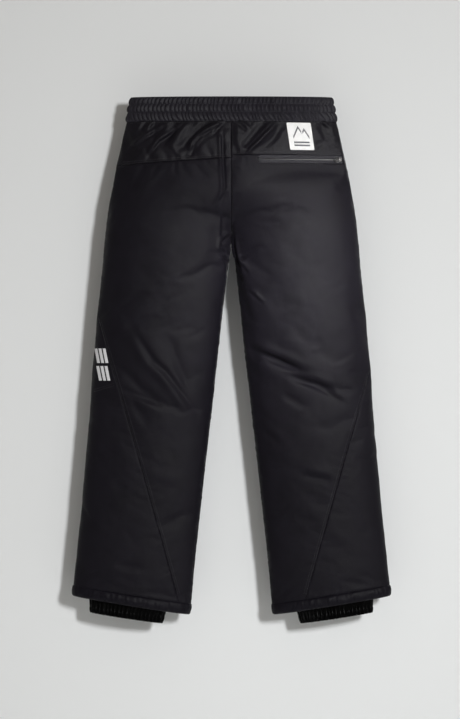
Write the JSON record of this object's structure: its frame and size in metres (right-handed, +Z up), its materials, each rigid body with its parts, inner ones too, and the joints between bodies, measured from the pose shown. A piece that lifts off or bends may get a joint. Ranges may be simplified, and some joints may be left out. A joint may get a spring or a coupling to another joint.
{
  "type": "ski pants",
  "caption": "Insulated ski pants with an elastic shirred waistband, a zipped rear pocket, slanted side panels, padded hems and inner snow gaiters.",
  "frame": {"origin": "centre line, half way between the front and back faces, at the height of the lowest point of the gaiters", "axes": "+X the wearer's right, +Y the wearer's front, +Z up to the waist"},
  "size_m": [0.6408, 0.096, 1.052],
  "materials": {
    "shell_fabric": "matt black plain-weave face",
    "yoke_fabric": "matt black plain-weave face",
    "hem_fabric": "slightly lighter black, padded",
    "waistband_fabric": "shirred over elastic",
    "facing_fabric": "brushed",
    "elastic": "woven elastic",
    "insulation": "loose fibre wadding",
    "lining": "smooth taffeta",
    "pocket_fabric": "brushed tricot",
    "gaiter_fabric": "shiny coated",
    "zip_tape": "satin laminated",
    "zip_coil": "satin",
    "gunmetal": "dark plated",
    "pull": "satin black",
    "label": "soft moulded, white",
    "label_ink": "raised dark grey",
    "print": "white transfer"
  },
  "bodies": {
    "garment": {"yoke_back_left": "yoke_fabric", "yoke_back_right": "yoke_fabric", "seat_back_left": "shell_fabric", "seat_back_right": "shell_fabric", "front_left": "shell_fabric", "front_right": "shell_fabric", "side_panel_left": "shell_fabric", "side_panel_right": "shell_fabric", "knee_section_left": "shell_fabric", "knee_section_right": "shell_fabric", "insulation_left": "insulation", "insulation_right": "insulation", "lining_left": "lining", "lining_right": "lining", "waistband": "waistband_fabric", "waist_elastic": "elastic", "waistband_facing": "facing_fabric", "waist_tab_anchor": "yoke_fabric", "snap_stud": "gunmetal", "rear_zip_tape": "zip_tape", "rear_zip_coil": "zip_coil", "hand_zip_tape": "zip_tape", "hand_zip_coil": "zip_coil", "fly_zip_tape": "zip_tape", "fly_zip_coil": "zip_coil", "zip_stops": "gunmetal", "rear_pocket_bag": "pocket_fabric", "hand_pocket_bag_left": "pocket_fabric", "hand_pocket_bag_right": "pocket_fabric", "fly_shield": "facing_fabric", "label_patch": "label", "label_mark": "label_ink", "leg_print": "print"},
    "calf_left": {"calf_back_left": "shell_fabric", "calf_side_left": "shell_fabric", "calf_front_left": "shell_fabric", "hem_band_left": "hem_fabric", "gaiter_left": "gaiter_fabric", "gaiter_elastic_left": "elastic"},
    "calf_right": {"calf_back_right": "shell_fabric", "calf_side_right": "shell_fabric", "calf_front_right": "shell_fabric", "hem_band_right": "hem_fabric", "gaiter_right": "gaiter_fabric", "gaiter_elastic_right": "elastic"},
    "waist_tab": {"waist_tab": "yoke_fabric", "snap_socket": "gunmetal", "snap_cap": "gunmetal"},
    "rear_slider": {"rear_slider": "gunmetal"},
    "rear_pull": {"rear_pull": "pull"},
    "hand_slider_left": {"hand_slider_left": "gunmetal"},
    "hand_pull_left": {"hand_pull_left": "pull"},
    "hand_slider_right": {"hand_slider_right": "gunmetal"},
    "hand_pull_right": {"hand_pull_right": "pull"},
    "fly_slider": {"fly_slider": "gunmetal"},
    "fly_pull": {"fly_pull": "pull"}
  },
  "joints": [
    {"name": "knee_left", "type": "hinge", "parent": "garment", "child": "calf_left", "pos_m": [-0.162, 0, 0.425], "axis": [-1, 0, 0], "range_deg": [0, 90], "deforming": ["knee_section_left", "insulation_left", "lining_left"]},
    {"name": "knee_right", "type": "hinge", "parent": "garment", "child": "calf_right", "pos_m": [0.162, 0, 0.425], "axis": [-1, 0, 0], "range_deg": [0, 90], "deforming": ["knee_section_right", "insulation_right", "lining_right"]},
    {"name": "rear_zip_slide", "type": "slide", "parent": "garment", "child": "rear_slider", "axis": [-0.9894, -0.1454, 0], "range_m": [0, 0.1542]},
    {"name": "rear_pull_swing", "type": "hinge", "parent": "rear_slider", "child": "rear_pull", "pos_m": [0.21469, -0.01648, 0.92717], "axis": [-0.0186, 0.1262, 0.9918], "range_deg": [0, 180]},
    {"name": "hand_zip_slide_left", "type": "slide", "parent": "garment", "child": "hand_slider_left", "axis": [-0.4073, 0.0238, -0.913], "range_m": [0, 0.13639]},
    {"name": "hand_pull_swing_left", "type": "hinge", "parent": "hand_slider_left", "child": "hand_pull_left", "pos_m": [-0.13022, 0.02829, 0.97513], "axis": [0.8975, 0.1955, -0.3953], "range_deg": [0, 160]},
    {"name": "hand_zip_slide_right", "type": "slide", "parent": "garment", "child": "hand_slider_right", "axis": [0.4073, 0.0238, -0.913], "range_m": [0, 0.13639]},
    {"name": "hand_pull_swing_right", "type": "hinge", "parent": "hand_slider_right", "child": "hand_pull_right", "pos_m": [0.13022, 0.02829, 0.97513], "axis": [0.8975, -0.1955, 0.3953], "range_deg": [0, 160]},
    {"name": "fly_zip_slide", "type": "slide", "parent": "garment", "child": "fly_slider", "axis": [0, 0.1289, -0.9917], "range_m": [0, 0.11198]},
    {"name": "fly_pull_swing", "type": "hinge", "parent": "fly_slider", "child": "fly_pull", "pos_m": [0, 0.03294, 0.98913], "axis": [1, 0, 0], "range_deg": [0, 120]},
    {"name": "waist_tab_swing", "type": "hinge", "parent": "garment", "child": "waist_tab", "pos_m": [-0.026, 0.03273, 1.02876], "axis": [0, -0.1289, 0.9917], "range_deg": [0, 120]}
  ]
}
